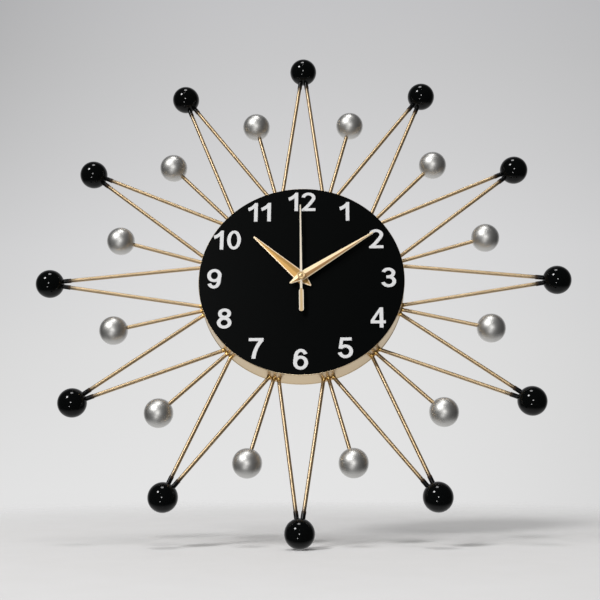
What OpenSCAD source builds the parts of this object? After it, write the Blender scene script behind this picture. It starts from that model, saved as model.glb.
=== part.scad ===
// Sunburst wall clock: a shallow drum case with a black dial, wire spokes that end in balls,
// and a battery movement with its wheel train, pipes and hands.
// Modules work in the dial's frame: X to the right, Y up, Z from the wall towards the viewer.
// Angles of balls, numerals and hands are degrees clockwise from twelve.

/* [Star] */
// Radius of the circle through the black ball centres
black_ring_r = 237; // [215:1:280]
// Radius of the circle through the silver ball centres
silver_ring_r = 180; // [150:1:190]
// Diameter of a black ball
black_ball_d = 26.5; // [20:0.5:32]
// Diameter of a silver ball
silver_ball_d = 26.5; // [20:0.5:26.5]
// Distance of the black ball centres from the wall
black_standoff = 17.2; // [16.9:0.1:24]
// Distance of the spoke roots from the wall
root_standoff = 8; // [7.6:0.1:14]
// Diameter of the spoke wire
wire_d = 3.6; // [2:0.1:3.6]
// Spacing of the three wires of a bunch where they meet the case
bunch_pitch = 4.4; // [4.2:0.1:8]
// Web left between the two legs of a vee at their ends in the ball
leg_web = 0.4; // [0.4:0.1:3]
// How far short of the ball's centre a spoke ends
spoke_stop = 8; // [4:0.5:9]
// Outer diameter of the black sleeve on each leg of a vee
sleeve_d = 4.3; // [4:0.1:5]
// Length of a sleeve outside the ball
sleeve_len = 6.5; // [3:0.5:15]

/* [Case] */
// Outer radius of the drum case
case_r = 95.5; // [88:0.5:110]
// Depth of the drum from the wall to the dial's face
case_depth = 25; // [24.5:0.5:40]
// Thickness of the case wall
case_wall = 1.5; // [1.4:0.1:3]
// Depth of the seats that the spokes are brazed into
seat_depth = 0.7; // [0.6:0.05:0.75]
// Thickness of the case's front sheet
front_t = 1; // [0.6:0.1:2]
// Thickness of the dial plate
dial_t = 1.4; // [0.8:0.1:2]
// Thickness of the back plate
back_t = 1.6; // [1.5:0.1:2.5]
// Side of the square window in the back plate
window_side = 62; // [58:0.5:70]
// Height of the keyhole's entry above the hand axis
hang_rise = 62; // [50:1:70]
// Radius of the keyhole's entry
keyhole_r = 4.5; // [4:0.1:6]
// Radius of the keyhole's narrow end
keyhole_slot_r = 2.2; // [1.5:0.1:2.6]
// Rise of the keyhole's narrow end above the entry
keyhole_rise = 9; // [7:0.5:14]
// Width of a lug that the back plate is screwed to
lug_w = 10; // [8:0.5:20]
// Height of a lug above the back plate
lug_h = 6; // [5.5:0.5:12]
// Shank radius of a back plate screw
screw_r = 1.5; // [1:0.1:1.8]
// Head radius of a back plate screw
screw_head_r = 2.8; // [2.4:0.1:3.4]
// Length of a back plate screw under its head
screw_len = 4.5; // [3:0.5:5]

/* [Dial] */
// Radius of the circle through the numeral centres
numeral_ring_r = 81; // [70:1:81]
// Height of a numeral
numeral_h = 20; // [14:0.5:21]
// Thickness of a numeral
numeral_t = 0.8; // [0.4:0.1:1.5]
// Stem width of a numeral, in heights
stem = 0.17; // [0.12:0.01:0.2]
// Width of a round digit, in heights
digit_w = 0.67; // [0.62:0.01:0.75]
// Gap between the two digits of a numeral, in heights
digit_gap = 0.16; // [0.1:0.01:0.3]

/* [Hands] */
// Angle of the hour hand
hour_angle = -46.5; // [-180:0.5:180]
// Angle of the minute hand
minute_angle = 56; // [-180:0.5:180]
// Angle of the second hand
second_angle = -1; // [-180:0.5:180]
// Length of the hour hand from the axis
hour_len = 62; // [40:1:75]
// Greatest width of the hour hand
hour_w = 11; // [9.5:0.5:14]
// Length of the minute hand from the axis
minute_len = 81; // [60:1:92]
// Greatest width of the minute hand
minute_w = 9; // [7:0.5:12]
// Length of the tails of the hour and minute hands
hand_tail = 12.5; // [9:0.5:20]
// Width of the blunt tips of the hour and minute hands
hand_tip_w = 1.6; // [1:0.1:3]
// Thickness of the hands at their edges
hand_t = 0.5; // [0.3:0.1:0.7]
// Height of the ridge along the hour and minute hands
hand_ridge = 0.5; // [0.2:0.1:0.6]
// Length of the second hand from the axis
second_len = 75; // [50:1:92]
// Length of the second hand's tail
second_tail = 36; // [20:1:50]
// Width of the second hand's counterweight bar
counter_w = 4.3; // [2.5:0.1:6]
// Start of the counterweight bar, from the axis
counter_start = 13; // [6:0.5:17]
// Width of the second hand at the hub
needle_w = 2.2; // [1.2:0.1:3]
// Radius of the second hand's round hub
cap_r = 3.8; // [2.8:0.1:5]
// Width of the collar round a hand's pipe
collar_w = 1.5; // [1:0.1:2]
// How far a collar or a pipe stands past what it goes through
collar_proud = 0.1; // [0.05:0.05:0.3]
// Air between one hand and the next
hand_air = 0.8; // [0.5:0.1:2]

/* [Movement] */
// Side of the square movement
movement_side = 56; // [56:0.5:60]
// Depth of the movement
movement_depth = 16; // [16:0.1:17]
// Wall thickness of the movement's housing
housing_wall = 1.2; // [1:0.1:1.4]
// Thickness of the housing's front plate
housing_front = 2; // [1.5:0.1:2.2]
// Thickness of the movement's rear cover
cover_t = 1.4; // [1:0.1:1.6]
// Thickness of the rubber gasket between movement and case
gasket_t = 0.8; // [0.4:0.1:0.9]
// Outer radius of the gasket
gasket_r = 9; // [6:0.5:20]
// Outer radius of the threaded bushing
bushing_r = 3.5; // [3.3:0.1:4]
// Thickness of the washer under the fixing nut
washer_t = 0.4; // [0.3:0.1:1]
// Outer radius of the washer
washer_r = 5.6; // [5:0.1:8]
// Width across the flats of the fixing nut
nut_flats = 10; // [9:0.5:13]
// Thickness of the fixing nut
nut_t = 1.2; // [1:0.1:3]
// How far the bushing stands past its nut
bushing_proud = 0.2; // [0:0.1:1]
// Outer radius of the hour pipe
hour_pipe_r = 2.5; // [2.4:0.05:2.6]
// Outer radius of the minute pipe
minute_pipe_r = 1.5; // [1.3:0.05:1.5]
// Radius of the second hand's arbor
arbor_r = 0.5; // [0.4:0.02:0.6]
// Radius of the posts that the wheels turn on
post_r = 0.6; // [0.4:0.02:0.62]
// Thickness of a wheel
wheel_t = 1; // [0.6:0.05:1.1]
// Wall of the bosses round the posts and pivots
boss_wall = 1; // [0.6:0.1:1.2]
// Thickness of the flange at the rear of the minute pipe
flange_t = 0.3; // [0.2:0.05:0.6]
// Radius of the rotor magnet
magnet_r = 3; // [2:0.1:3.2]
// Radius of the battery cell
cell_r = 7.25; // [6.5:0.05:7.3]
// Length of the battery cell with its button
cell_len = 50.5; // [48:0.1:50.8]
// Slack of the battery cell in its bay
bay_slack = 0.25; // [0.1:0.05:0.4]
// Room for the contacts at the two ends of the cell
contact_room = 3.1; // [2:0.1:5]
// Thickness of the contact strips
contact_t = 0.4; // [0.2:0.05:0.5]
// Outer radius of the coil
coil_r = 2.9; // [2:0.1:3]
// Thickness of the circuit board
board_t = 0.8; // [0.4:0.1:1.2]
// Radius of the quartz crystal's can
crystal_r = 1; // [0.8:0.1:1.5]
// Radius of the setting knob
knob_r = 5; // [3.5:0.1:7]
// Height of the setting knob's head
knob_h = 2.8; // [2:0.1:3.8]

/* [Clearances] */
// Gap round a fixed piece in its seat
fit = 0.05; // [0.03:0.01:0.1]
// Radial gap of a turning pipe or wheel on its shaft
running = 0.06; // [0.03:0.01:0.09]
// Gap round the back plate
plate_gap = 0.15; // [0.1:0.05:0.3]
// End float of a wheel beside its seat
float_gap = 0.25; // [0.1:0.05:0.3]
// Gap round the motor's and the circuit's pieces
inner_gap = 0.4; // [0.2:0.05:0.5]

/* [Hidden] */
$fn = 48;
HOURS = [1 : 12];
hour_step = 30;

// Levels from the wall towards the viewer
dial_z = case_depth;
dial_back = dial_z - dial_t;
front_back = dial_back - front_t;
movement_front = front_back - gasket_t;
movement_rear = movement_front - movement_depth;
plate_z = movement_front - housing_front;
cover_z = movement_rear + cover_t;
washer_top = dial_z + washer_t;
nut_top = washer_top + nut_t;
bushing_top = nut_top + bushing_proud;
hour_hand_z = bushing_top + float_gap;
hand_h = hand_t + hand_ridge;
minute_hand_z = hour_hand_z + hand_h + hand_air;
second_hand_z = minute_hand_z + hand_h + hand_air;
// How far the arbor reaches into the second hand's hub
arbor_hold = 1;

// Case and star
inner_r = case_r - case_wall;
back_r = inner_r - plate_gap;
bush_hole_r = bushing_r + fit;
bunch_angle = asin(bunch_pitch / case_r);
slope = (black_standoff - root_standoff) / (black_ring_r - case_r);
silver_standoff = root_standoff + slope * (silver_ring_r - case_r);
socket_d = wire_d + 2 * fit;
leg_root_a = hour_step / 2 - bunch_angle;
leg_x = (wire_d + leg_web) / 2;
lug_margin = 2;
lug_depth = 2 * (screw_head_r + lug_margin);
lug_r = inner_r - lug_depth / 2;
screw_head_h = screw_head_r - screw_r;
corner_r = 3;

// Wheel train: each wheel's name, then its teeth, and the module of each mesh
tooth_addendum = 0.8;
tooth_dedendum = 1.15;
root_share = 0.54;
pitch_share = 0.4;
tip_share = 0.18;
rotor_leaves = 10;
inter_teeth = 50;
inter_leaves = 10;
second_teeth = 60;
second_leaves = 8;
third_teeth = 64;
third_leaves = 8;
centre_teeth = 60;
cannon_leaves = 12;
motion_teeth = 36;
motion_leaves = 10;
hour_teeth = 40;
knob_leaves = 12;
fine_module = 0.25;
third_distance = fine_module * (second_leaves + third_teeth) / 2;
centre_module = 2 * third_distance / (third_leaves + centre_teeth);
motion_module = 1 / 3;
motion_distance = motion_module * (cannon_leaves + motion_teeth) / 2;
hour_module = 2 * motion_distance / (motion_leaves + hour_teeth);
inter_distance = fine_module * (inter_leaves + second_teeth) / 2;
rotor_distance = fine_module * (rotor_leaves + inter_teeth) / 2;
knob_distance = motion_module * (knob_leaves + motion_teeth) / 2;
// Bearings of the wheel axes, counter-clockwise from the right
third_bearing = 155;
motion_bearing = 25;
inter_bearing = 90;
rotor_bearing = 50;
third_axis = polar(third_distance, third_bearing);
motion_axis = polar(motion_distance, motion_bearing);
knob_axis = motion_axis + polar(knob_distance, motion_bearing);
inter_axis = polar(inter_distance, inter_bearing);
rotor_axis = inter_axis + polar(rotor_distance, rotor_bearing);
// Levels of the wheels, down from the housing's front plate
leaf_t = 1.6 * wheel_t;
hour_wheel_z = plate_z - float_gap - wheel_t;
cannon_z = hour_wheel_z - float_gap - leaf_t;
motion_z = cannon_z + (leaf_t - wheel_t) / 2;
centre_hub_h = 1.7 * wheel_t;
centre_z = cannon_z - float_gap - centre_hub_h;
pipe_rear = centre_z - float_gap - flange_t;
second_leaf_z = pipe_rear - float_gap - leaf_t;
third_z = second_leaf_z + (leaf_t - wheel_t) / 2;
third_h = centre_z + 1.4 * wheel_t - third_z;
second_z = third_z - 2.2 * wheel_t;
inter_z = second_z - 1.8 * wheel_t;
inter_h = 3.2 * wheel_t;
rotor_z = inter_z - 0.4 * wheel_t;
rotor_leaf_h = 1.8 * wheel_t;
magnet_h = 2.2 * wheel_t;
stator_z = rotor_z + rotor_leaf_h + (magnet_h - wheel_t) / 2;
wheel_bore = post_r + running;
minute_bore = arbor_r + running;
hour_bore = minute_pipe_r + running;
pivot_r = 0.8 * arbor_r;
knob_shaft_r = 1.25;

// Housing and battery bay
housing_in = movement_side / 2 - housing_wall;
bay_in = (cell_len + contact_room) / 2;
bay_top = -housing_in + 2 * cell_r + 2 * bay_slack;
bay_wall_top = bay_top + housing_wall;
cell_y = -housing_in + cell_r + bay_slack;
cell_z = plate_z - cell_r - fit;
cell_right = bay_in - contact_t - fit;
cell_left = cell_right - cell_len;
coil_y = housing_in - coil_r - inner_gap;
leaf_tip_r = fine_module * (inter_leaves / 2 + tooth_addendum);
stator_low = inter_axis.y + leaf_tip_r + inner_gap;
stator_high = coil_y - coil_r - inner_gap;
stator_arm = 3;
stator_tail = 14;
stator_head = 8;
stator_left = rotor_axis.x - stator_tail;
stator_right = rotor_axis.x + stator_head;
core_w = 2.4;
board_left = stator_right + 3 * inner_gap;
board_low = rotor_axis.y - magnet_r;
board_edge = housing_in - inner_gap;
// Overlap of the solids that one piece is fused from
sink = 0.5;
// Overshoot of a cut past the faces that it goes through
over = 1;

function polar(r, a) = [r * cos(a), r * sin(a)];
function unit(v) = v / norm(v);

// Phase of a wheel that meshes with a wheel of phase p1, seen from that wheel along bearing b
function mesh_phase(b, p1, n1, n2) = b + 180 - 180 / n2 + (b - p1) * n1 / n2;

// Half the angle that a tooth takes at radius r, for its share of the pitch there
function tooth_half(m, r, share) = share * 90 * m / r;

function gear_points(teeth, m, phase) =
    let (
        rp = m * teeth / 2,
        ra = rp + tooth_addendum * m,
        rf = rp - tooth_dedendum * m,
        radii = [rf, rp, ra],
        shares = [root_share, pitch_share, tip_share],
        halves = [for (i = [0 : 2]) tooth_half(m, radii[i], shares[i])],
        tooth = concat(
            [for (i = [0 : 2]) [radii[i], -halves[i]]],
            [for (i = [2 : -1 : 0]) [radii[i], halves[i]]])
    )
    [for (k = [0 : teeth - 1], p = tooth) polar(p[0], phase + k * 360 / teeth + p[1])];

// Outline of a rectangle with rounded corners, given its two opposite corners
function rounded_rect(low, high, r) =
    let (
        a = low + [r, r],
        b = high - [r, r],
        mid = [b, [a.x, b.y], a, [b.x, a.y]]
    )
    [for (k = [0 : 3], t = [0 : 15 : 90]) mid[k] + polar(r, 90 * k + t)];

// Points along an elliptical arc
function arc(c, rx, ry, a0, a1, n = 16) =
    [for (i = [0 : n]) let (a = a0 + (a1 - a0) * i / n) c + [rx * cos(a), ry * sin(a)]];

// Points of a quadratic curve from a to c that b pulls on
function curve(a, b, c, n = 8) =
    [for (i = [0 : n]) let (t = i / n) (1 - t) * (1 - t) * a + 2 * t * (1 - t) * b + t * t * c];

// Places its children from the dial's frame into the part's frame, whose origin is the keyhole
module on_wall() {
    translate([0, 0, -hang_rise]) rotate([90, 0, 0]) children();
}

// Turns its children clockwise from twelve
module clockwise(a) {
    rotate([0, 0, -a]) children();
}

// Round bar between two points
module rod(p, q, d) {
    v = q - p;
    translate(p) rotate([0, acos(v.z / norm(v)), atan2(v.y, v.x)]) cylinder(d = d, h = norm(v));
}

// Ring or tube that stands on level z
module tube(z, h, outer, inner) {
    translate([0, 0, z]) difference() {
        cylinder(r = outer, h = h);
        translate([0, 0, -over]) cylinder(r = inner, h = h + 2 * over);
    }
}

// Toothed disc that stands on level z
module gear(teeth, m, z, h, phase) {
    translate([0, 0, z]) linear_extrude(h) polygon(gear_points(teeth, m, phase));
}

// Spokes and balls, drawn for twelve o'clock

function leg_root(s) = [s * case_r * sin(leg_root_a), case_r * cos(leg_root_a), root_standoff];
function leg_end(s) = [s * leg_x, black_ring_r - spoke_stop, black_standoff];
function leg_dir(s) = unit(leg_end(s) - leg_root(s));
function leg_seat(s) = leg_root(s) - seat_depth * leg_dir(s);
short_root = [0, case_r, root_standoff];
short_end = [0, silver_ring_r - spoke_stop, silver_standoff - slope * spoke_stop];
short_dir = unit(short_end - short_root);
short_seat = short_root - seat_depth * short_dir;
sleeve_run = black_ball_d / 2 - spoke_stop + sleeve_len;

module black_ball(h) {
    color("#141516") on_wall() clockwise(h * hour_step) difference() {
        translate([0, black_ring_r, black_standoff]) sphere(d = black_ball_d);
        for (s = [-1, 1]) rod(leg_end(s) + fit * leg_dir(s), leg_root(s), socket_d);
    }
}

module silver_ball(h) {
    color("#b9b9bb") on_wall() clockwise((h + 0.5) * hour_step) difference() {
        translate([0, silver_ring_r, silver_standoff]) sphere(d = silver_ball_d);
        rod(short_end + fit * short_dir, short_root, socket_d);
    }
}

module vee_spokes() {
    color("#d9b777") on_wall()
        for (h = HOURS, s = [-1, 1]) clockwise(h * hour_step) rod(leg_seat(s), leg_end(s), wire_d);
}

module short_spokes() {
    color("#d9b777") on_wall()
        for (h = HOURS) clockwise((h + 0.5) * hour_step) rod(short_seat, short_end, wire_d);
}

module leg_sleeves() {
    color("#1b1c1d") on_wall()
        for (h = HOURS, s = [-1, 1]) clockwise(h * hour_step) difference() {
            rod(leg_end(s) - sleeve_run * leg_dir(s), leg_end(s), sleeve_d);
            rod(leg_root(s), leg_end(s) + leg_dir(s), socket_d);
            translate([0, black_ring_r, black_standoff]) sphere(d = black_ball_d + 2 * fit);
        }
}

// Case, dial and back

module case_pan() {
    wall = [
        [bush_hole_r, front_back], [inner_r, front_back], [inner_r, 0], [case_r, 0],
        [case_r, dial_back], [bush_hole_r, dial_back]
    ];
    color("#cbb088") on_wall() difference() {
        rotate_extrude() polygon(wall);
        for (h = HOURS) {
            for (s = [-1, 1])
                clockwise(h * hour_step) rod(leg_seat(s) - fit * leg_dir(s), leg_end(s), socket_d);
            clockwise((h + 0.5) * hour_step) rod(short_seat - fit * short_dir, short_end, socket_d);
        }
    }
}

module dial_plate() {
    color("#0c0e0e") on_wall() tube(dial_back, dial_t, case_r, bush_hole_r);
}

module keyhole() {
    h = back_t + 2 * over;
    translate([0, 0, -over]) {
        cylinder(r = keyhole_r, h = h);
        translate([0, keyhole_rise, 0]) cylinder(r = keyhole_slot_r, h = h);
        translate([-keyhole_slot_r, 0, 0]) cube([2 * keyhole_slot_r, keyhole_rise, h]);
    }
}

// A countersunk screw's outline, grown by a gap
module screw_body(gap, length) {
    head = screw_head_r + gap;
    shank = screw_r + gap;
    end = screw_head_h + length;
    rotate_extrude() polygon([[0, 0], [head, 0], [shank, screw_head_h], [shank, end], [0, end]]);
}

module at_lugs() {
    for (k = [0 : 3]) rotate([0, 0, 90 * k]) translate([lug_r, 0, 0]) children();
}

module back_plate() {
    half = window_side / 2;
    color("#2b2b2c") on_wall() difference() {
        cylinder(r = back_r, h = back_t);
        translate([0, 0, -over]) linear_extrude(back_t + 2 * over)
            polygon(rounded_rect([-half, -half], [half, half], 2 * corner_r));
        translate([0, hang_rise, 0]) keyhole();
        at_lugs() screw_body(fit, screw_len);
    }
}

module back_lugs() {
    color("#9a8a6a") on_wall() intersection() {
        at_lugs() difference() {
            translate([-lug_depth / 2, -lug_w / 2, back_t]) cube([lug_depth + case_wall, lug_w, lug_h]);
            screw_body(fit, screw_len + fit);
        }
        cylinder(r = inner_r - fit, h = case_depth);
    }
}

module back_screws() {
    slot_w = 0.8;
    slot_d = 0.7;
    color("#8d8e90") on_wall() at_lugs() difference() {
        screw_body(0, screw_len);
        translate([-screw_head_r, -slot_w / 2, -over]) cube([2 * screw_head_r, slot_w, over + slot_d]);
    }
}

// Numerals, drawn one digit high in a box whose lower left corner is the origin

function digit_width(d) = d == 1 ? 0.47 : digit_w;
bar = 0.83 * stem;

// Offset of a broad pen that draws stems wider than bars, in direction v
function pen(v) =
    let (a = stem / 2, b = bar / 2)
    [a * a * v.x, b * b * v.y] / norm([a * v.x, b * v.y]);
function side(path, i) =
    let (n = len(path), t = path[min(i + 1, n - 1)] - path[max(i - 1, 0)])
    pen([-t.y, t.x] / norm(t));
function stroke(path) = concat(
    [for (i = [0 : len(path) - 1]) path[i] + side(path, i)],
    [for (i = [len(path) - 1 : -1 : 0]) path[i] - side(path, i)]);

module ring_digit(c, rx, ry) {
    difference() {
        polygon(arc(c, rx, ry, 0, 352.5, 47));
        polygon(arc(c, rx - stem, ry - bar, 0, 352.5, 47));
    }
}

module digit_six() {
    bowl = 0.335;
    ring_digit([digit_w / 2, bowl], digit_w / 2, bowl);
    polygon(stroke(concat(
        arc([digit_w / 2 + 0.01, 0.62], digit_w / 2 - 0.105, 0.38 - bar / 2, 25, 180, 18),
        [[stem / 2, bowl]])));
}

module digit_one() {
    w = digit_width(1);
    polygon(concat(
        [[w, 0], [w, 1], [w - 0.8 * stem, 1]],
        curve([w - 0.8 * stem, 1], [0.21, 0.8], [0, 0.73], 6),
        curve([0.04, 0.565], [0.16, 0.6], [w - stem, 0.71], 4),
        [[w - stem, 0]]));
}

module digit_two() {
    top = 1 - bar / 2;
    polygon(stroke(concat(
        arc([digit_w / 2, 0.71], digit_w / 2 - stem / 2, top - 0.71, 172, -20, 20),
        curve([digit_w - 0.135, 0.59], [digit_w / 2 + 0.1, 0.4], [0.14, 0.1], 8))));
    polygon([[0, 0], [digit_w, 0], [digit_w, bar], [0.12, bar], [0.075, 0.146], [0, 0.085]]);
}

module digit_three() {
    waist = 0.53;
    upper_h = (1 - bar / 2 - waist) / 2;
    lower_h = (waist - bar / 2) / 2;
    x = digit_w / 2 - 0.01;
    polygon(stroke(arc([x, waist + upper_h], x - stem / 2 - 0.01, upper_h, 165, -90, 20)));
    polygon(stroke(arc([x, waist - lower_h], digit_w - stem / 2 - x, lower_h, 90, -168, 22)));
    translate([x - 0.1, waist - bar / 2]) square([0.1, bar]);
}

module digit_four() {
    right = digit_w - 0.09;
    low = 0.21;
    difference() {
        polygon([
            [right - stem, 0], [right, 0], [right, low], [digit_w + 0.02, low], [digit_w + 0.02, low + bar],
            [right, low + bar], [right, 1], [right - 0.9 * stem, 1], [0, low + bar], [0, low],
            [right - stem, low]
        ]);
        polygon([[right - stem, low + bar], [right - stem, 0.77], [0.16, low + bar]]);
    }
}

module digit_five() {
    c = [digit_w / 2 - 0.01, 0.33];
    polygon([[0.1, 1 - bar], [digit_w - 0.06, 1 - bar], [digit_w - 0.06, 1], [0.1, 1]]);
    polygon([[0.02, 0.47], [0.2, 0.452], [0.18, 0.58], [0.25, 1], [0.1, 1]]);
    polygon(stroke(arc(c, digit_w - stem / 2 - c.x, c.y - bar / 2, 132, -168, 26)));
}

module digit_seven() {
    polygon([[0, 1 - bar], [digit_w, 1 - bar], [digit_w, 1], [0, 1]]);
    polygon(concat(
        curve([digit_w, 1 - bar], [0.36, 0.5], [0.325, 0], 10),
        curve([0.145, 0], [0.18, 0.46], [digit_w - 0.215, 1 - bar], 10)));
}

module digit_eight() {
    ring_digit([digit_w / 2, 0.745], digit_w / 2 - 0.035, 0.255);
    ring_digit([digit_w / 2, 0.29], digit_w / 2, 0.29);
}

module digit(d) {
    if (d == 0) ring_digit([digit_w / 2, 0.5], digit_w / 2 - 0.01, 0.5);
    if (d == 1) digit_one();
    if (d == 2) digit_two();
    if (d == 3) digit_three();
    if (d == 4) digit_four();
    if (d == 5) digit_five();
    if (d == 6) digit_six();
    if (d == 7) digit_seven();
    if (d == 8) digit_eight();
    if (d == 9) translate([digit_w, 1]) rotate(180) digit_six();
}

// Hour number h, centred on the origin
module numeral(h) {
    digits = h < 10 ? [h] : [1, h - 10];
    widths = [for (d = digits) digit_width(d)];
    total = len(digits) == 1 ? widths[0] : widths[0] + digit_gap + widths[1];
    for (i = [0 : len(digits) - 1])
        linear_extrude(numeral_t) scale(numeral_h)
            translate([i * (widths[0] + digit_gap) - total / 2, -0.5]) digit(digits[i]);
}

module numerals() {
    color("#e4e4e6") on_wall() for (h = HOURS)
        translate(concat(polar(numeral_ring_r, 90 - h * hour_step), dial_z)) numeral(h);
}

// Hands

// Ridged blade that points at twelve from level 0
module blade(length, width, tail) {
    tip = hand_tip_w / 2;
    w = width / 2;
    end = 0.8 * tip;
    top = function (half) hand_t + hand_ridge * half / w;
    outline = [[tip, length], [-tip, length], [-w, 0], [-end, -tail], [end, -tail], [w, 0]];
    points = concat(
        [for (p = outline) [p.x, p.y, 0]],
        [for (p = outline) [p.x, p.y, hand_t]],
        [[0, length, top(tip)], [0, 0, top(w)], [0, -tail, top(end)]]);
    sides = [for (i = [0 : 5]) each [[i, i + 6, (i + 1) % 6 + 6], [i, (i + 1) % 6 + 6, (i + 1) % 6]]];
    facets = [
        [6, 12, 7], [7, 12, 13], [7, 13, 8], [8, 13, 14], [8, 14, 9],
        [9, 14, 10], [10, 14, 13], [10, 13, 11], [11, 13, 12], [11, 12, 6]
    ];
    polyhedron(points, concat([[0, 1, 2, 3, 4, 5]], sides, facets));
}

module hour_hand() {
    color("#d8b271") on_wall() clockwise(hour_angle) translate([0, 0, hour_hand_z]) difference() {
        union() {
            blade(hour_len, hour_w, hand_tail);
            cylinder(r = hour_pipe_r + collar_w, h = hand_h + collar_proud);
        }
        translate([0, 0, -over]) cylinder(r = hour_pipe_r + fit, h = hand_h + collar_proud + 2 * over);
    }
}

module minute_hand() {
    color("#d8b271") on_wall() clockwise(minute_angle) translate([0, 0, minute_hand_z]) difference() {
        union() {
            blade(minute_len, minute_w, hand_tail);
            cylinder(r = minute_pipe_r + collar_w, h = hand_h + collar_proud);
        }
        translate([0, 0, -over]) cylinder(r = minute_pipe_r + fit, h = hand_h + collar_proud + 2 * over);
    }
}

module second_hand() {
    tip_w = 0.55 * needle_w;
    bar_start = counter_start + needle_w;
    bar_end = second_tail - counter_w / 2;
    button_r = 1.5;
    button_h = 0.5;
    hub_h = 1.3;
    outline = [
        [tip_w / 2, second_len], [-tip_w / 2, second_len], [-needle_w / 2, 0],
        [-needle_w / 2, -counter_start], [-counter_w / 2, -bar_start], [-counter_w / 2, -bar_end],
        [counter_w / 2, -bar_end], [counter_w / 2, -bar_start], [needle_w / 2, -counter_start],
        [needle_w / 2, 0]
    ];
    color("#e0bd80") on_wall() clockwise(second_angle) translate([0, 0, second_hand_z]) difference() {
        union() {
            linear_extrude(hand_t) polygon(outline);
            translate([0, -bar_end, 0]) cylinder(d = counter_w, h = hand_t);
            cylinder(r = cap_r, h = hub_h);
            cylinder(r = button_r, h = hub_h + button_h);
        }
        translate([0, 0, -over]) cylinder(r = arbor_r + fit, h = over + arbor_hold + fit);
    }
}

// Movement housing and fixings

// Post from the housing's front plate down to level z
module post_down(axis, r, z) {
    translate(concat(axis, z)) cylinder(r = r, h = plate_z + sink - z);
}

// Post from the rear cover up to level z
module post_up(axis, r, z) {
    translate(concat(axis, cover_z - sink)) cylinder(r = r, h = z + sink - cover_z);
}

module movement_housing() {
    half = movement_side / 2;
    bay_half = bay_in + housing_wall;
    knob_boss_h = 1.3;
    third_boss_z = third_z + third_h + float_gap;
    core_top = stator_z + 2 * wheel_t;
    core_post_r = core_w / 2;
    boss_r = post_r + boss_wall;
    color("#26272a") on_wall() difference() {
        union() {
            difference() {
                translate([0, 0, movement_rear]) linear_extrude(movement_depth) {
                    polygon(rounded_rect([-half, -half], [half, half], corner_r));
                    polygon(rounded_rect([-bay_half, -half], [bay_half, bay_wall_top], corner_r));
                }
                translate([-housing_in, bay_wall_top, 0])
                    cube([2 * housing_in, housing_in - bay_wall_top, plate_z]);
                translate([-bay_in, -housing_in, 0])
                    cube([2 * bay_in, bay_top + housing_in, plate_z]);
                translate([-half, bay_wall_top - housing_wall / 2, 0])
                    cube([movement_side, movement_side, cover_z]);
            }
            translate([0, 0, plate_z]) cylinder(r = bushing_r, h = bushing_top - plate_z);
            post_down(third_axis, boss_r, third_boss_z);
            post_down(third_axis, post_r, third_z - float_gap);
            post_down(motion_axis, post_r, motion_z - float_gap);
            post_down(knob_axis, boss_r, plate_z - knob_boss_h);
            for (x = [stator_left + stator_arm / 2, stator_right - stator_arm / 2])
                post_down([x, coil_y], core_post_r, core_top);
        }
        translate([0, 0, plate_z - over])
            cylinder(r = hour_pipe_r + running, h = bushing_top - plate_z + 2 * over);
        translate(concat(knob_axis, plate_z - knob_boss_h - over))
            cylinder(r = wheel_bore, h = knob_boss_h + over);
    }
}

module movement_cover() {
    half = movement_side / 2;
    low = bay_wall_top - housing_wall / 2 + fit;
    boss_top = second_z - float_gap;
    color("#1f2022") on_wall() difference() {
        union() {
            translate([0, 0, movement_rear]) linear_extrude(cover_t)
                polygon(rounded_rect([-half, low], [half, half], corner_r));
            post_up([0, 0], pivot_r + boss_wall, boss_top);
            post_up(inter_axis, post_r + boss_wall, inter_z - float_gap);
            post_up(inter_axis, post_r, inter_z + inter_h + float_gap);
            post_up(rotor_axis, post_r + boss_wall, rotor_z - float_gap);
            post_up(rotor_axis, post_r, rotor_z + rotor_leaf_h + magnet_h + float_gap);
        }
        translate([0, 0, cover_z]) cylinder(r = pivot_r + running, h = boss_top);
        translate(concat(knob_axis, movement_rear - over))
            cylinder(r = knob_shaft_r + running, h = cover_t + 2 * over);
    }
}

module gasket() {
    color("#1a1a1a") on_wall() tube(movement_front, gasket_t, gasket_r, bush_hole_r);
}

module washer() {
    color("#b8935a") on_wall() tube(dial_z, washer_t, washer_r, bush_hole_r);
}

module fixing_nut() {
    color("#b8935a") on_wall() translate([0, 0, washer_top]) difference() {
        cylinder(d = nut_flats / cos(30), h = nut_t, $fn = 6);
        translate([0, 0, -over]) cylinder(r = bush_hole_r, h = nut_t + 2 * over);
    }
}

// Wheel train, from the rotor to the hour wheel

rotor_phase = 0;
inter_phase = mesh_phase(rotor_bearing + 180, rotor_phase, rotor_leaves, inter_teeth);
second_phase = mesh_phase(inter_bearing + 180, 0, inter_leaves, second_teeth);
third_phase = mesh_phase(third_bearing, 0, second_leaves, third_teeth);
centre_phase = mesh_phase(third_bearing + 180, 0, third_leaves, centre_teeth);
motion_phase = mesh_phase(motion_bearing, 0, cannon_leaves, motion_teeth);
hour_phase = mesh_phase(motion_bearing + 180, 0, motion_leaves, hour_teeth);
knob_phase = mesh_phase(motion_bearing, motion_phase, motion_teeth, knob_leaves);

module rotor() {
    color("#6f7277") on_wall() translate(concat(rotor_axis, 0)) difference() {
        union() {
            gear(rotor_leaves, fine_module, rotor_z, rotor_leaf_h, rotor_phase);
            translate([0, 0, rotor_z + rotor_leaf_h]) cylinder(r = magnet_r, h = magnet_h);
        }
        cylinder(r = wheel_bore, h = plate_z);
    }
}

module intermediate_wheel() {
    color("#e9e4d4") on_wall() translate(concat(inter_axis, 0)) difference() {
        union() {
            gear(inter_teeth, fine_module, inter_z, wheel_t, inter_phase);
            gear(inter_leaves, fine_module, inter_z, inter_h, 0);
        }
        cylinder(r = wheel_bore, h = plate_z);
    }
}

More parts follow.
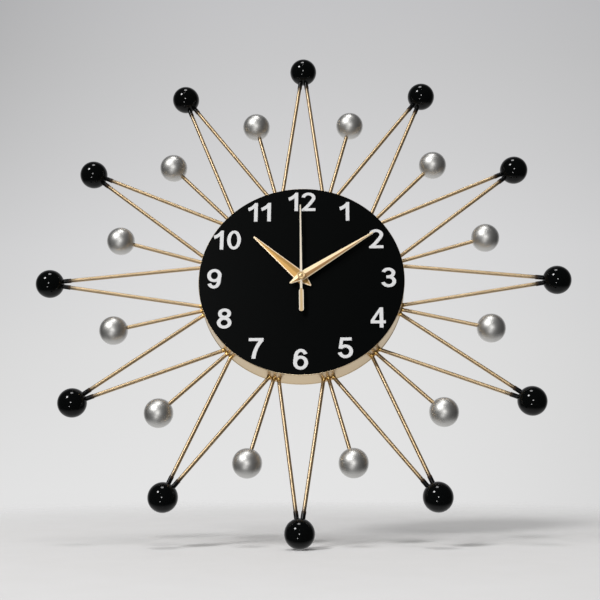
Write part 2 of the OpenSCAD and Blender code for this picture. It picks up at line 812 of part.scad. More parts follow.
module second_wheel() {
    arbor_top = second_hand_z + arbor_hold;
    color("#e9e4d4") on_wall() {
        gear(second_teeth, fine_module, second_z, wheel_t, second_phase);
        gear(second_leaves, fine_module, second_z, second_leaf_z + leaf_t - second_z, 0);
        translate([0, 0, second_z]) cylinder(r = arbor_r, h = arbor_top - second_z);
        translate([0, 0, cover_z + float_gap]) cylinder(r = pivot_r, h = second_z - cover_z);
    }
}

module third_wheel() {
    color("#e9e4d4") on_wall() translate(concat(third_axis, 0)) difference() {
        union() {
            gear(third_teeth, fine_module, third_z, wheel_t, third_phase);
            gear(third_leaves, centre_module, third_z, third_h, 0);
        }
        cylinder(r = wheel_bore, h = plate_z);
    }
}

module centre_wheel() {
    color("#c9b27c") on_wall() difference() {
        union() {
            gear(centre_teeth, centre_module, centre_z + 0.2 * wheel_t, wheel_t, centre_phase);
            translate([0, 0, centre_z]) cylinder(r = minute_pipe_r + boss_wall, h = centre_hub_h);
        }
        cylinder(r = minute_pipe_r + running, h = plate_z);
    }
}

module minute_pipe() {
    pipe_top = minute_hand_z + hand_h + 2 * collar_proud;
    flange_w = 0.7;
    color("#c9a765") on_wall() difference() {
        union() {
            translate([0, 0, pipe_rear]) cylinder(r = minute_pipe_r, h = pipe_top - pipe_rear);
            translate([0, 0, pipe_rear]) cylinder(r = minute_pipe_r + flange_w, h = flange_t);
            gear(cannon_leaves, motion_module, cannon_z, leaf_t, 0);
        }
        cylinder(r = minute_bore, h = pipe_top + over);
    }
}

module motion_wheel() {
    color("#e9e4d4") on_wall() translate(concat(motion_axis, 0)) difference() {
        union() {
            gear(motion_teeth, motion_module, motion_z, wheel_t, motion_phase);
            gear(motion_leaves, hour_module, motion_z, hour_wheel_z + wheel_t - motion_z, 0);
        }
        cylinder(r = wheel_bore, h = dial_z);
    }
}

module hour_wheel() {
    pipe_top = hour_hand_z + hand_h + 2 * collar_proud;
    color("#e9e4d4") on_wall() difference() {
        union() {
            gear(hour_teeth, hour_module, hour_wheel_z, wheel_t, hour_phase);
            translate([0, 0, hour_wheel_z]) cylinder(r = hour_pipe_r, h = pipe_top - hour_wheel_z);
        }
        cylinder(r = hour_bore, h = pipe_top + over);
    }
}

module setting_knob() {
    ribs = 24;
    rib_depth = 0.35;
    rib_step = 180 / ribs;
    gap = float_gap;
    grip = [for (i = [0 : 2 * ribs - 1]) polar(knob_r - (i % 2) * rib_depth, i * rib_step)];
    color("#1c1c1e") on_wall() translate(concat(knob_axis, 0)) {
        translate([0, 0, movement_rear - gap - knob_h]) linear_extrude(knob_h) polygon(grip);
        translate([0, 0, movement_rear - gap]) cylinder(r = knob_shaft_r, h = cannon_z - movement_rear + gap);
        gear(knob_leaves, motion_module, cannon_z, leaf_t, knob_phase);
        translate([0, 0, cannon_z]) cylinder(r = post_r, h = plate_z - float_gap - cannon_z);
    }
}

// Motor, circuit and battery

module stator() {
    core_z = stator_z + wheel_t;
    color("#8f9296") on_wall() {
        difference() {
            translate([stator_left, stator_low, stator_z])
                cube([stator_right - stator_left, stator_high - stator_low, wheel_t]);
            translate(concat(rotor_axis, stator_z - over))
                cylinder(r = magnet_r + inner_gap, h = wheel_t + 2 * over);
        }
        for (x = [stator_left, stator_right - stator_arm])
            translate([x, stator_low, stator_z])
                cube([stator_arm, coil_y + core_w / 2 - stator_low, wheel_t]);
        translate([stator_left, coil_y - core_w / 2, core_z])
            cube([stator_right - stator_left, core_w, wheel_t]);
    }
}

module coil() {
    flange = 0.8;
    left = stator_left + stator_arm + inner_gap;
    right = stator_right - stator_arm - inner_gap;
    core_z = stator_z + 1.5 * wheel_t;
    color("#a4552c") on_wall() difference() {
        translate([left, coil_y, core_z]) rotate([0, 90, 0]) {
            cylinder(r = coil_r - inner_gap, h = right - left);
            for (x = [0, right - left - flange]) translate([0, 0, x]) cylinder(r = coil_r, h = flange);
        }
        translate([left - over, coil_y - core_w / 2 - fit, core_z - wheel_t / 2 - fit])
            cube([right - left + 2 * over, core_w + 2 * fit, wheel_t + 2 * fit]);
    }
}

module circuit_board() {
    chip_r = 2.4;
    chip_h = 1;
    chip_x = board_left + chip_r + 3 * inner_gap;
    chip_y = board_low + chip_r + 3 * inner_gap;
    color("#2f6b3f") on_wall() {
        translate([board_left, board_low, cover_z])
            cube([board_edge - board_left, board_edge - board_low, board_t]);
        translate([chip_x, chip_y, cover_z + board_t]) cylinder(r = chip_r, h = chip_h);
    }
}

module crystal() {
    crystal_len = 6;
    end_y = board_edge - inner_gap;
    crystal_z = cover_z + board_t + crystal_r + fit;
    color("#c3c5c8") on_wall() translate([board_edge - 2 * crystal_r, end_y, crystal_z])
        rotate([90, 0, 0]) cylinder(r = crystal_r, h = crystal_len);
}

// A spring strip that stands in the battery bay, cut from its side outline
module contact_strip(outline) {
    height = 12;
    translate([0, cell_y, cell_z - height / 2]) linear_extrude(height) polygon(outline);
}

module positive_contact() {
    half = 4;
    face = bay_in - contact_t;
    wall = bay_in - fit;
    color("#c9cbce") on_wall() contact_strip([[face, -half], [wall, -half], [wall, half], [face, half]]);
}

module negative_contact() {
    half = 5;
    wall = -bay_in + fit;
    crest = cell_left - fit;
    color("#c9cbce") on_wall() contact_strip([
        [wall, -half], [wall + contact_t, -half], [crest, 0], [wall + contact_t, half], [wall, half],
        [crest - 1.3 * contact_t, 0]
    ]);
}

module battery() {
    button_r = 2.75;
    button_h = 1.3;
    color("#3c4147") on_wall() translate([cell_left, cell_y, cell_z]) rotate([0, 90, 0]) {
        cylinder(r = cell_r, h = cell_len - button_h);
        cylinder(r = button_r, h = cell_len);
    }
}

case_pan();
dial_plate();
numerals();
back_plate();
back_lugs();
back_screws();
vee_spokes();
short_spokes();
leg_sleeves();
for (h = HOURS) black_ball(h);
for (h = HOURS) silver_ball(h);
movement_housing();
movement_cover();
gasket();
washer();
fixing_nut();
rotor();
intermediate_wheel();
second_wheel();
third_wheel();
centre_wheel();
minute_pipe();
motion_wheel();
hour_wheel();
setting_knob();
stator();
coil();
circuit_board();
crystal();
positive_contact();
negative_contact();
battery();
hour_hand();
minute_hand();
second_hand();
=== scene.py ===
# %% [markdown]
# # A sunburst wall clock, dressed in Blender
# The clock is a shallow gold drum with a black dial. Wire spokes stand out of the drum's side wall:
# twelve vees of two long wires carry gloss black balls, and twelve short wires carry satin silver balls.
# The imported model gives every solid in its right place, so this lesson adds what a solid lacks:
# finishes, rolled edges, brazed joints, light and a camera.
# One Blender unit is one metre, the dial faces -Y, Z is up, and the origin is the hanger's keyhole.

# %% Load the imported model
import math

import bmesh
import bpy
from mathutils import Matrix, Vector


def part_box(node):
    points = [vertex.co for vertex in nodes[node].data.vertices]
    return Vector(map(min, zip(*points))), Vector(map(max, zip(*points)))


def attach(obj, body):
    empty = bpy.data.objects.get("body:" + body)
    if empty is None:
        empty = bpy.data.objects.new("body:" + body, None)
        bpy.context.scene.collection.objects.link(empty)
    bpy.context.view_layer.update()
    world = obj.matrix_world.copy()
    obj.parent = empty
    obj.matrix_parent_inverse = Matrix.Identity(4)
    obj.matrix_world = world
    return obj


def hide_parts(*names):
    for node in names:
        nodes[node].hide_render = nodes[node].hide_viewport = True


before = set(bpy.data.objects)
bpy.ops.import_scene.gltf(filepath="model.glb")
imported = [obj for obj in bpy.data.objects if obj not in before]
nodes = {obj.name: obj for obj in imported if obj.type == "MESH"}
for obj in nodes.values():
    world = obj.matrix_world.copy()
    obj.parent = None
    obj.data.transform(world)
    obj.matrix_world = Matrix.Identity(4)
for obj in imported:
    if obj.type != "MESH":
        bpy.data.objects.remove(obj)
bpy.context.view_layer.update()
MM = 0.001
scene = bpy.context.scene
scene.view_settings.view_transform = "Standard"

# %% [markdown]
# ## Where things are
# Each node's box tells where it lies. The hands, the drum and the dial share one axis, which runs
# along Y through the middle of the dial. Depth is counted from the wall towards the viewer, so a point
# at depth d has y = -d. Working in depth, radius and hour angle keeps every later number short.

# %% Measure the drum and the dial
case_low, case_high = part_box("case_pan")
dial_low, dial_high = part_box("dial_plate")
AXIS_Z = (dial_low.z + dial_high.z) / 2
CASE_R = (case_high.x - case_low.x) / 2 / MM
DIAL_FACE = -dial_low.y / MM
DIAL_BACK = -dial_high.y / MM


def on_dial(x, up, depth):
    """A point in metres from a place on the dial and a depth from the wall, both in millimetres."""
    return Vector((x * MM, -depth * MM, AXIS_Z + up * MM))


print(f"drum radius {CASE_R:.1f} mm, dial from {DIAL_BACK:.1f} to {DIAL_FACE:.1f} mm")

# %% [markdown]
# ## Camera
# The photograph looks up at the clock from below its middle. Its viewpoint was worked out from the
# places of the balls, the dial's rim and the numerals. The camera is set as a photographer would say it:
# how far round, how far below, how far away, and what it points at.

# %% Place the camera
FRAME_PX = 600
FOCAL_PX = 1146.5
SENSOR_MM = 36
VIEW_AZIMUTH = math.radians(2.21)
VIEW_ELEVATION = math.radians(-24.71)
VIEW_ROLL = math.radians(0.49)
VIEW_DISTANCE = 1054.2 * MM
VIEW_TARGET = on_dial(-1.0, -22.5, 25.8)

backward = Vector((
    math.sin(VIEW_AZIMUTH) * math.cos(VIEW_ELEVATION),
    -math.cos(VIEW_AZIMUTH) * math.cos(VIEW_ELEVATION),
    math.sin(VIEW_ELEVATION),
))
level_right = (-backward).cross(Vector((0, 0, 1))).normalized()
level_up = level_right.cross(-backward)
view_right = math.cos(VIEW_ROLL) * level_right + math.sin(VIEW_ROLL) * level_up
view_up = math.cos(VIEW_ROLL) * level_up - math.sin(VIEW_ROLL) * level_right

camera_data = bpy.data.cameras.new("camera")
camera_data.sensor_width = SENSOR_MM
camera_data.lens = SENSOR_MM * FOCAL_PX / FRAME_PX
camera = bpy.data.objects.new("camera", camera_data)
scene.collection.objects.link(camera)
camera.matrix_world = Matrix((view_right, view_up, backward)).transposed().to_4x4()
camera.location = VIEW_TARGET + VIEW_DISTANCE * backward
scene.camera = camera
print("lens", round(camera_data.lens, 1), "mm at", [round(v, 3) for v in camera.location])

# %% [markdown]
# ## Helpers for every material
# Colours are written as sRGB hex values, the way a paint chart gives them, and one function turns them
# into the linear values that shaders use. A second function adds one node with its settings and links.
# Most real surfaces vary a little everywhere, so a third one builds a finish whose colour, roughness
# and relief all follow one grain, with the grain's size in millimetres.

# %% Helpers for colours, nodes and grained finishes
GRAIN_DETAIL = 2


def srgb(code):
    """Linear colour, with alpha, of a hex code such as #d9b26f."""
    parts = [int(code[i:i + 2], 16) / 255 for i in (1, 3, 5)]
    linear = [c / 12.92 if c <= 0.04045 else ((c + 0.055) / 1.055) ** 2.4 for c in parts]
    return (*linear, 1.0)


def add(tree, kind, inputs=None, **settings):
    """Adds a node. Settings are its own properties; inputs are values, or sockets that feed it."""
    node = tree.nodes.new(kind)
    for name, value in settings.items():
        setattr(node, name, value)
    for name, value in (inputs or {}).items():
        if isinstance(value, bpy.types.NodeSocket):
            tree.links.new(value, node.inputs[name])
        else:
            node.inputs[name].default_value = value
    return node


def grained(name, dark, light, grain, smooth, rough, relief=0, stretch=(1, 1, 1), turn=0, **sockets):
    """A finish that follows one grain: two colours, two roughnesses, and a relief in millimetres."""
    material = bpy.data.materials.new(name)
    material.use_nodes = True
    tree = material.node_tree
    shader = tree.nodes["Principled BSDF"]
    for socket, value in sockets.items():
        shader.inputs[socket.replace("_", " ")].default_value = value
    place = add(tree, "ShaderNodeTexCoord")
    lie = add(tree, "ShaderNodeMapping", {
        "Vector": place.outputs["Object"], "Rotation": (0, math.radians(turn), 0), "Scale": stretch,
    }, vector_type="TEXTURE")
    noise = add(tree, "ShaderNodeTexNoise", {
        "Vector": lie.outputs["Vector"], "Scale": 1 / (grain * MM), "Detail": GRAIN_DETAIL,
    })
    tone = add(tree, "ShaderNodeMix", {
        "Factor": noise.outputs["Fac"], "A": srgb(dark), "B": srgb(light),
    }, data_type="RGBA")
    tree.links.new(tone.outputs["Result"], shader.inputs["Base Color"])
    sheen = add(tree, "ShaderNodeMapRange", {
        "Value": noise.outputs["Fac"], "To Min": smooth, "To Max": rough,
    })
    tree.links.new(sheen.outputs["Result"], shader.inputs["Roughness"])
    if relief:
        bump = add(tree, "ShaderNodeBump", {"Height": noise.outputs["Fac"], "Distance": relief * MM})
        tree.links.new(bump.outputs["Normal"], shader.inputs["Normal"])
    print("mixed", name)
    return material


# %% [markdown]
# ## Floor
# The clock stands on its lowest ball, leaning back a little, on a plain pale floor. In the clock's own
# frame, where it hangs upright, that floor is a tilted plane that drops towards the camera. A plain disc
# will do, since the paper on it fades out before its edge.

# %% Build the floor
FLOOR_TILT = math.radians(17.5)
FLOOR_R = 1600 * MM
FLOOR_STEPS = 64
foot_low, foot_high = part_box("black_ball_6")
ball_r = (foot_high.x - foot_low.x) / 2 / MM
black_depth = -(foot_low.y + foot_high.y) / 2 / MM
black_ring = (AXIS_Z - foot_low.z) / MM - ball_r
floor_normal = Vector((0, -math.sin(FLOOR_TILT), math.cos(FLOOR_TILT)))
floor_contact = on_dial(0, -black_ring, black_depth) - ball_r * MM * floor_normal
floor_mesh = bpy.data.meshes.new("floor")
floor_shape = bmesh.new()
bmesh.ops.create_circle(floor_shape, cap_ends=True, radius=FLOOR_R, segments=FLOOR_STEPS)
floor_shape.to_mesh(floor_mesh)
floor_shape.free()
floor = bpy.data.objects.new("floor", floor_mesh)
scene.collection.objects.link(floor)
floor.matrix_world = Matrix.Translation(floor_contact) @ Matrix.Rotation(FLOOR_TILT, 4, "X")
# Reflections take their floor from the world shader, which shows it behind and below the clock only
floor.visible_glossy = False
print("floor touches the lowest ball at", [round(v, 3) for v in floor_contact])

# %% [markdown]
# ## Paper
# A studio floor is a sweep of matt white paper that curves up behind the object, so that no line shows
# where it ends. Here the paper fades out with distance instead, and melts into the backdrop in the same
# way. It has one printed side, so that from below the floor the clock's back shows through it.

# %% Fade the paper out
FADE_CENTRE = (0, 150 * MM, 0)
FADE_START = 250 * MM
FADE_END = 780 * MM
# Matt white board with a faint mottle some 40 mm across
paper = grained("matt_white_paper_sweep", "#dbdad9", "#e0dfdf", grain=40, smooth=0.85, rough=0.9)
tree = paper.node_tree
place = add(tree, "ShaderNodeTexCoord")
reach = add(tree, "ShaderNodeVectorMath", {
    0: place.outputs["Object"], 1: FADE_CENTRE,
}, operation="DISTANCE")
fade = add(tree, "ShaderNodeMapRange", {
    "Value": reach.outputs["Value"], "From Min": FADE_START, "From Max": FADE_END,
}, interpolation_type="SMOOTHSTEP")
side_seen = add(tree, "ShaderNodeNewGeometry")
gone = add(tree, "ShaderNodeMath", {
    0: fade.outputs["Result"], 1: side_seen.outputs["Backfacing"],
}, operation="MAXIMUM")
clear = add(tree, "ShaderNodeBsdfTransparent")
blend = add(tree, "ShaderNodeMixShader", {
    0: gone.outputs["Value"], 1: tree.nodes["Principled BSDF"].outputs["BSDF"], 2: clear.outputs["BSDF"],
})
tree.links.new(blend.outputs["Shader"], tree.nodes["Material Output"].inputs["Surface"])
floor.data.materials.append(paper)
print("paper fades out between", FADE_START, "and", FADE_END, "m from its middle")

# %% [markdown]
# ## Backdrop
# A photographer's backdrop is pale, lightest where it meets the floor, and it falls off towards its
# upper corners. A colour ramp over the height of a ray's heading gives the fall upwards. Light is also
# lost with the square of the way aside: on the left more and more with height, on the right evenly.

# %% Paint the backdrop
# Heights and ways aside are sines of the angle from the line of sight
BACKDROP_LOW = -0.16
BACKDROP_HIGH = 0.26
BACKDROP_HALF = 0.25
BACKDROP_FOOT = "#e4e4e4"
BACKDROP_TONES = (
    (0.28, "#e1e1e1"), (0.485, "#dcdcdd"), (0.69, "#d1d1d2"), (0.87, "#c8c8c9"),
)
BACKDROP_TOP = "#c3c3c5"
LOSS_LEFT_LOW = 0.02
LOSS_LEFT_HIGH = 0.22
LOSS_RIGHT = 0.11
SIDE_BLEND = 0.1
world = bpy.data.worlds.new("studio")
scene.world = world
world.use_nodes = True
tree = world.node_tree
tree.nodes.clear()
heading = add(tree, "ShaderNodeTexCoord").outputs["Generated"]
height = add(tree, "ShaderNodeVectorMath", {0: heading, 1: view_up}, operation="DOT_PRODUCT")
rise = add(tree, "ShaderNodeMapRange", {
    "Value": height.outputs["Value"], "From Min": BACKDROP_LOW, "From Max": BACKDROP_HIGH,
})
sweep = add(tree, "ShaderNodeValToRGB", {"Fac": rise.outputs["Result"]})
sweep.color_ramp.elements[0].color = srgb(BACKDROP_FOOT)
sweep.color_ramp.elements[1].color = srgb(BACKDROP_TOP)
for position, colour in BACKDROP_TONES:
    sweep.color_ramp.elements.new(position).color = srgb(colour)

across = add(tree, "ShaderNodeVectorMath", {0: heading, 1: view_right}, operation="DOT_PRODUCT")
square = add(tree, "ShaderNodeMath", {
    0: across.outputs["Value"], 1: across.outputs["Value"],
}, operation="MULTIPLY")
left_loss = add(tree, "ShaderNodeMapRange", {
    "Value": rise.outputs["Result"], "To Min": LOSS_LEFT_LOW, "To Max": LOSS_LEFT_HIGH,
})
side_loss = add(tree, "ShaderNodeMapRange", {
    "Value": across.outputs["Value"], "From Min": -SIDE_BLEND, "From Max": SIDE_BLEND,
    "To Min": left_loss.outputs["Result"], "To Max": LOSS_RIGHT,
})
loss = add(tree, "ShaderNodeMapRange", {
    "Value": square.outputs["Value"], "From Max": BACKDROP_HALF ** 2,
    "To Max": side_loss.outputs["Result"],
})
kept = add(tree, "ShaderNodeMath", {0: 1.0, 1: loss.outputs["Result"]}, operation="SUBTRACT")
backdrop = add(tree, "ShaderNodeBackground", {
    "Color": sweep.outputs["Color"], "Strength": kept.outputs["Value"],
})
print("backdrop runs from", BACKDROP_FOOT, "at the floor to", BACKDROP_TOP, "at the top")

# %% [markdown]
# ## Room
# The world shader gives the backdrop to the rays that show it: camera rays, and reflections that go
# behind the clock, or down behind it where the pale floor lies. The rest of the room is dark for
# reflections, as a studio is, which gives polished metal its dark streaks. Matt surfaces get a soft even
# fill from all round.

# %% Build the room
ROOM_FILL = 0.37
ROOM_DARK = 0.05
# The pale side fades in between two cosines of the angle to straight behind and to down behind
BEHIND_START = 0.3
BEHIND_FULL = 0.95
BELOW_LEAN = 0.5
BELOW_START = 0.42
BELOW_FULL = 0.82
BELOW_SHARE = 0.85
behind = add(tree, "ShaderNodeVectorMath", {0: heading, 1: -backward}, operation="DOT_PRODUCT")
behind_clock = add(tree, "ShaderNodeMapRange", {
    "Value": behind.outputs["Value"], "From Min": BEHIND_START, "From Max": BEHIND_FULL,
}, interpolation_type="SMOOTHSTEP")
down_behind = (-floor_normal - BELOW_LEAN * backward).normalized()
below = add(tree, "ShaderNodeVectorMath", {0: heading, 1: down_behind}, operation="DOT_PRODUCT")
below_floor = add(tree, "ShaderNodeMapRange", {
    "Value": below.outputs["Value"], "From Min": BELOW_START, "From Max": BELOW_FULL,
    "To Max": BELOW_SHARE,
}, interpolation_type="SMOOTHSTEP")
pale_side = add(tree, "ShaderNodeMath", {
    0: behind_clock.outputs["Result"], 1: below_floor.outputs["Result"],
}, operation="MAXIMUM")
path = add(tree, "ShaderNodeLightPath")
mirrored = add(tree, "ShaderNodeMath", {
    0: path.outputs["Is Glossy Ray"], 1: pale_side.outputs["Value"],
}, operation="MULTIPLY")
seen = add(tree, "ShaderNodeMath", {
    0: path.outputs["Is Camera Ray"], 1: path.outputs["Is Transmission Ray"],
}, operation="MAXIMUM")
shown = add(tree, "ShaderNodeMath", {
    0: seen.outputs["Value"], 1: mirrored.outputs["Value"],
}, operation="MAXIMUM")
room = add(tree, "ShaderNodeMapRange", {
    "Value": path.outputs["Is Glossy Ray"], "To Min": ROOM_FILL, "To Max": ROOM_DARK,
})
dim_room = add(tree, "ShaderNodeBackground", {
    "Color": srgb("#ffffff"), "Strength": room.outputs["Result"],
})
either = add(tree, "ShaderNodeMixShader", {
    0: shown.outputs["Value"], 1: dim_room.outputs["Background"], 2: backdrop.outputs["Background"],
})
add(tree, "ShaderNodeOutputWorld", {"Surface": either.outputs["Shader"]})
print("room fill", ROOM_FILL, "for matt surfaces and", ROOM_DARK, "for reflections")

# %% [markdown]
# ## Lamps
# Every black ball mirrors the lamps, so its highlights tell where they stood: a bright one high on the
# left, a dimmer one overhead, and a small one close to the camera. A faint dot below that one is its
# image in the floor. A highlight at an offset from the ball's middle fixes the normal there, and the
# lamp lies along the mirrored line of sight.

# %% Place the lamps
MIDDLE_DEPTH = 20
LAMP_DISTANCE = 5


def lamp(name, right, up, size, watts):
    """A round lamp, in metres, that mirrors in a ball at this offset from its middle, in ball radii."""
    outward = math.sqrt(1 - right ** 2 - up ** 2)
    normal = right * view_right + up * view_up + outward * backward
    towards = 2 * outward * normal - backward
    data = bpy.data.lights.new(name, "AREA")
    data.shape = "DISK"
    data.size = size
    data.energy = watts
    lamp_object = bpy.data.objects.new(name, data)
    scene.collection.objects.link(lamp_object)
    lamp_object.location = on_dial(0, 0, MIDDLE_DEPTH) + LAMP_DISTANCE * towards
    lamp_object.rotation_euler = towards.to_track_quat("Z", "Y").to_euler()
    lamp_object.visible_camera = False
    print(name, "stands at", [round(v, 2) for v in lamp_object.location])
    return lamp_object


lamp("key_lamp", right=-0.3, up=0.4, size=1.15, watts=150)
lamp("top_lamp", right=-0.05, up=0.7, size=1.4, watts=64)
lamp("front_lamp", right=-0.02, up=0.07, size=0.6, watts=46)
# The front lamp's image in the floor lies below the floor, so the floor lets this one shine through
floor_glint = lamp("floor_glint", right=-0.12, up=-0.2, size=0.45, watts=22)
lets_through = bpy.data.collections.new("floor_lets_glint_through")
lets_through.objects.link(floor)
lets_through.collection_objects[0].light_linking.link_state = "EXCLUDE"
floor_glint.light_linking.blocker_collection = lets_through

# %% [markdown]
# ## Drum, wire and braze
# The drum is spun sheet steel with a champagne lacquer: spinning leaves fine rings round the axis, which
# show as a soft satin. The spokes are drawn wire with a satin brass plating under clear lacquer. They
# were buffed round and round, which stretches a highlight along the wire. An anisotropic shader does the
# same once its tangent runs along the wires, that is, out from the hand axis.
# A metal keeps the default IOR, and its colour and roughness do the work.

# %% Champagne steel, brass wire and braze
# Spin rings are about 0.2 mm apart; they are drawn 0.9 mm apart so that the render can show them
champagne_steel = grained("champagne_lacquered_spun_steel", "#ead1aa", "#f1dcb8", grain=0.9,
                          smooth=0.32, rough=0.4, relief=0.004, stretch=(40, 1, 40), Metallic=1.0)
# Plating that is a little uneven along the wire; the clear lacquer adds a pale line of light
brass_wire = grained("lacquered_brass_plated_wire", "#c3a77c", "#cdb48d", grain=40, smooth=0.47, rough=0.49,
                     Metallic=1.0, Anisotropic=0.5, Coat_Weight=1.0, Coat_Roughness=0.35)
# Braze runs into the corner as a yellower, shinier bead, uneven over about a millimetre
braze = grained("brass_braze_fillet", "#cb9f52", "#e8c584", grain=1.2, smooth=0.3, rough=0.4, relief=0.01,
                Metallic=1.0)


def out_from_axis(material):
    """The way from the hand axis to a point of a surface, square to the axis."""
    tree = material.node_tree
    place = add(tree, "ShaderNodeTexCoord")
    away = add(tree, "ShaderNodeVectorMath", {
        0: place.outputs["Object"], 1: (0, 0, AXIS_Z),
    }, operation="SUBTRACT")
    flat = add(tree, "ShaderNodeVectorMath", {
        0: away.outputs["Vector"], 1: (1, 0, 1),
    }, operation="MULTIPLY")
    return flat.outputs["Vector"]


tree = brass_wire.node_tree
tree.links.new(out_from_axis(brass_wire), tree.nodes["Principled BSDF"].inputs["Tangent"])

# %% [markdown]
# ## Sprayed ends
# Each long wire enters its black ball through a short sleeve of heat-shrunk PVC. Ball and sleeve were
# sprayed black in place, and the edge of the spray fades out along the wire. A mask that rises with the
# distance from the hand axis lays the black over both finishes. The short spokes end before it starts.

# %% Darken the wire ends and sleeves
SPRAY_START = 211
SPRAY_FULL = 219
SLEEVE_SPRAY_START = 217
SLEEVE_SPRAY_FULL = 220


def recoloured(material, mask, code):
    """Lays another colour over a finish where the mask is 1."""
    tree = material.node_tree
    colour = tree.nodes["Principled BSDF"].inputs["Base Color"]
    under = colour.links[0].from_socket
    over = add(tree, "ShaderNodeMix", {"Factor": mask, "A": under, "B": srgb(code)}, data_type="RGBA")
    tree.links.new(over.outputs["Result"], colour)


def past_radius(material, start, full):
    """Mask that rises from 0 to 1 between two distances from the hand axis, in millimetres."""
    tree = material.node_tree
    reach = add(tree, "ShaderNodeVectorMath", {0: out_from_axis(material)}, operation="LENGTH")
    rise = add(tree, "ShaderNodeMapRange", {
        "Value": reach.outputs["Value"], "From Min": start * MM, "From Max": full * MM,
    })
    return rise.outputs["Result"]


# Heat-shrunk PVC is smooth, with a soft gloss that the spray has dulled
shrunk_pvc = grained("heat_shrunk_black_pvc", "#3a2a18", "#423120", grain=1.5, smooth=0.3, rough=0.36,
                     Specular_IOR_Level=0.2)
recoloured(brass_wire, past_radius(brass_wire, SPRAY_START, SPRAY_FULL), "#1a120b")
recoloured(shrunk_pvc, past_radius(shrunk_pvc, SLEEVE_SPRAY_START, SLEEVE_SPRAY_FULL), "#070707")
print("wires darken between", SPRAY_START, "and", SPRAY_FULL, "mm from the axis")

# %% [markdown]
# ## Brushed hands
# The hands are stamped sheet, brushed along their length and lacquered gold. Brush lines are a noise
# that is stretched along the hand, so each hand needs a finish of its own, turned to where it points.
# The tinted lacquer mutes the mirror of the metal under it. The three hands share one gold, painted darker
# on the hour hand as painted shade and paler on the minute hand as painted light.

# %% Gold for each hand
HOUR_ANGLE = -46.5
MINUTE_ANGLE = 56
SECOND_ANGLE = -1


def brushed_gold(name, dark, light, smooth, rough, degrees):
    """Gold-lacquered sheet, brushed along a hand that points this far clockwise from twelve."""
    # Brush lines are about 0.1 mm apart; they are drawn 0.4 mm apart so that the render can show them
    return grained(name, dark, light, grain=0.4, smooth=smooth, rough=rough, relief=0.004,
                   stretch=(1, 1, 40), turn=degrees, Metallic=0.8)


# One gold in three tones: painted shade on the hour hand, painted light on the minute hand
hour_gold = brushed_gold("brushed_gold_hour", "#b98f4e", "#c79d5f", 0.42, 0.5, HOUR_ANGLE)
minute_gold = brushed_gold("brushed_gold_minute", "#efd6aa", "#f7e1bb", 0.4, 0.46, MINUTE_ANGLE)
second_gold = brushed_gold("brushed_gold_second", "#e3c390", "#ecd0a2", 0.34, 0.42, SECOND_ANGLE)

# %% [markdown]
# ## Painted highlights and shade on the ridged hands
# A paler band along the edge of each ridged blade is a painted highlight, where the bevel catches the
# lamps. The blades rise evenly from their edge, so their height alone tells how far a point lies from it.
# One half of the minute hand, either side of its ridge, is painted darker, as painted shade.

# %% Recolour the hour and minute hands
# Thickness, height of the ridge and half widths of the imported hands
HAND_T = 0.5
HAND_RIDGE = 0.5
HOUR_HALF = 5.5
MINUTE_HALF = 4.5
# Width of the painted edge highlight, and of the change to the face's colour
EDGE_HIGHLIGHT_W = 0.9
PAINTED_TONE_BLEND = 0.3


def hand_frame(material, degrees):
    """A point of a hand in its own frame: X across it, Y from front to back, Z along it from the axis."""
    tree = material.node_tree
    place = add(tree, "ShaderNodeTexCoord")
    lie = add(tree, "ShaderNodeMapping", {
        "Vector": place.outputs["Object"], "Location": (0, 0, AXIS_Z),
        "Rotation": (0, math.radians(degrees), 0),
    }, vector_type="TEXTURE")
    return add(tree, "ShaderNodeSeparateXYZ", {"Vector": lie.outputs["Vector"]})


def painted_edge_highlight(name, material, point, half):
    """Mask of the painted highlight along a ridged blade's edge, found by its height."""
    edge_level = -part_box(name)[1].y / MM + HAND_T
    climb = HAND_RIDGE / half
    near_edge = add(material.node_tree, "ShaderNodeMapRange", {
        "Value": point.outputs["Y"], "From Min": -(edge_level + climb * (EDGE_HIGHLIGHT_W + PAINTED_TONE_BLEND / 2)) * MM,
        "From Max": -(edge_level + climb * (EDGE_HIGHLIGHT_W - PAINTED_TONE_BLEND / 2)) * MM,
    })
    print(f"{name} is cut at depth {edge_level:.2f} mm and rises {climb:.3f} mm a millimetre")
    return near_edge.outputs["Result"]


# Painted highlight: a paler band along the hour hand's edge
point = hand_frame(hour_gold, HOUR_ANGLE)
recoloured(hour_gold, painted_edge_highlight("hour_hand", hour_gold, point, HOUR_HALF), "#f5dfbf")
point = hand_frame(minute_gold, MINUTE_ANGLE)
# Painted shade: the half of the minute hand on one side of its ridge is darker
painted_shade_half = add(minute_gold.node_tree, "ShaderNodeMapRange", {
    "Value": point.outputs["X"], "From Min": -PAINTED_TONE_BLEND / 2 * MM, "From Max": PAINTED_TONE_BLEND / 2 * MM,
})
recoloured(minute_gold, painted_shade_half.outputs["Result"], "#c09362")
# Painted highlight: a paler band along the minute hand's edge
recoloured(minute_gold, painted_edge_highlight("minute_hand", minute_gold, point, MINUTE_HALF), "#f3deba")

# %% [markdown]
# ## Needle and bar of the second hand
# The second hand is flat and slim. Its whole needle and the edges of the bar that balances it are painted
# pale, as a painted highlight; its hub and the middle of the bar keep the gold. Here the mask comes from
# the place along the hand and the way aside from its middle line.

